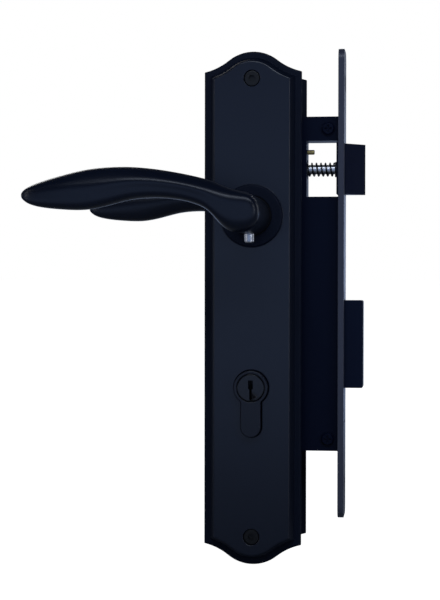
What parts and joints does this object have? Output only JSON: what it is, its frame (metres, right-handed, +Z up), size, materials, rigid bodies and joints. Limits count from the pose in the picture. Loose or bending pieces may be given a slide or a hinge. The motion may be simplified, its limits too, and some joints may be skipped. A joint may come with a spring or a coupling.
{
  "type": "door lockset",
  "caption": "Mortice door lockset with lever handles on long backplates, a spring latch, a deadbolt and a profile cylinder.",
  "frame": {"origin": "on the spindle's axis, midway through the lock case and the door leaf", "axes": "+X towards the forend, +Y from the front plate to the rear plate, +Z up"},
  "size_m": [0.1583, 0.1732, 0.2584],
  "materials": {
    "dark_casting": "satin bluish black powder coat",
    "case_steel": "satin dark blue coat",
    "forend_steel": "satin dark coat",
    "bolt_steel": "satin black coat",
    "cylinder_brass": "satin black coat on brass",
    "zinc_steel": "bright zinc plate",
    "black_steel": "black oxide",
    "brass": "plain brass",
    "sintered_steel": "dull sintered",
    "bush_plastic": "matte nylon"
  },
  "bodies": {
    "lock_frame": {"front_backplate": "dark_casting", "rear_backplate": "dark_casting", "plate_screws": "black_steel", "sleeve_nuts": "black_steel", "front_lever_bush": "bush_plastic", "rear_lever_bush": "bush_plastic", "front_return_spring": "black_steel", "rear_return_spring": "black_steel", "case_tray": "case_steel", "case_cover": "case_steel", "case_posts": "zinc_steel", "cover_screws": "case_steel", "forend": "forend_steel", "forend_rivets": "forend_steel", "rod_bracket": "zinc_steel", "latch_stop_pin": "brass", "latch_spring": "black_steel", "bolt_guide_stud": "zinc_steel", "bolt_leaf_spring": "black_steel", "cylinder_body": "cylinder_brass", "cylinder_screw": "forend_steel"},
    "levers": {"front_lever": "dark_casting", "rear_lever": "dark_casting", "front_grub_screw": "zinc_steel", "rear_grub_screw": "zinc_steel", "spindle": "zinc_steel", "front_return_collar": "zinc_steel", "rear_return_collar": "zinc_steel", "front_circlip": "black_steel", "rear_circlip": "black_steel", "follower": "sintered_steel"},
    "latch": {"latch_bolt": "bolt_steel", "latch_rod": "zinc_steel", "latch_washer": "black_steel", "latch_nut": "zinc_steel", "latch_carrier": "zinc_steel"},
    "deadbolt_body": {"deadbolt": "bolt_steel", "bolt_tail": "zinc_steel", "bolt_rivets": "bolt_steel"},
    "front_key": {"front_plug": "cylinder_brass", "front_plug_ring": "black_steel", "cam": "sintered_steel", "cam_clutch": "brass"},
    "rear_key": {"rear_plug": "cylinder_brass", "rear_plug_ring": "black_steel"}
  },
  "joints": [
    {"name": "lever_turn", "type": "hinge", "parent": "lock_frame", "child": "levers", "pos_m": [0, 0, 0], "axis": [0, -1, 0], "range_deg": [0, 40], "stiffness_Nm_per_rad": 0.8, "springref_deg": -28.65, "deforming": ["front_return_spring", "rear_return_spring"]},
    {"name": "latch_slide", "type": "slide", "parent": "lock_frame", "child": "latch", "axis": [1, 0, 0], "range_m": [-0.011, 0], "deforming": ["latch_spring"]},
    {"name": "deadbolt_slide", "type": "slide", "parent": "lock_frame", "child": "deadbolt_body", "axis": [1, 0, 0], "range_m": [-0.0095, 0.0095]},
    {"name": "front_key_turn", "type": "hinge", "parent": "lock_frame", "child": "front_key", "pos_m": [0, 0, -0.085], "axis": [0, 1, 0], "range_deg": [-360, 360]},
    {"name": "rear_key_turn", "type": "hinge", "parent": "lock_frame", "child": "rear_key", "pos_m": [0, 0, -0.085], "axis": [0, 1, 0], "range_deg": [-360, 360]}
  ],
  "couplings": [
    {"joint": "latch_slide", "follows": "lever_turn", "m_per_rad": -0.01575},
    {"joint": "front_key_turn", "follows": "deadbolt_slide", "rad_per_m": 661.3}
  ]
}
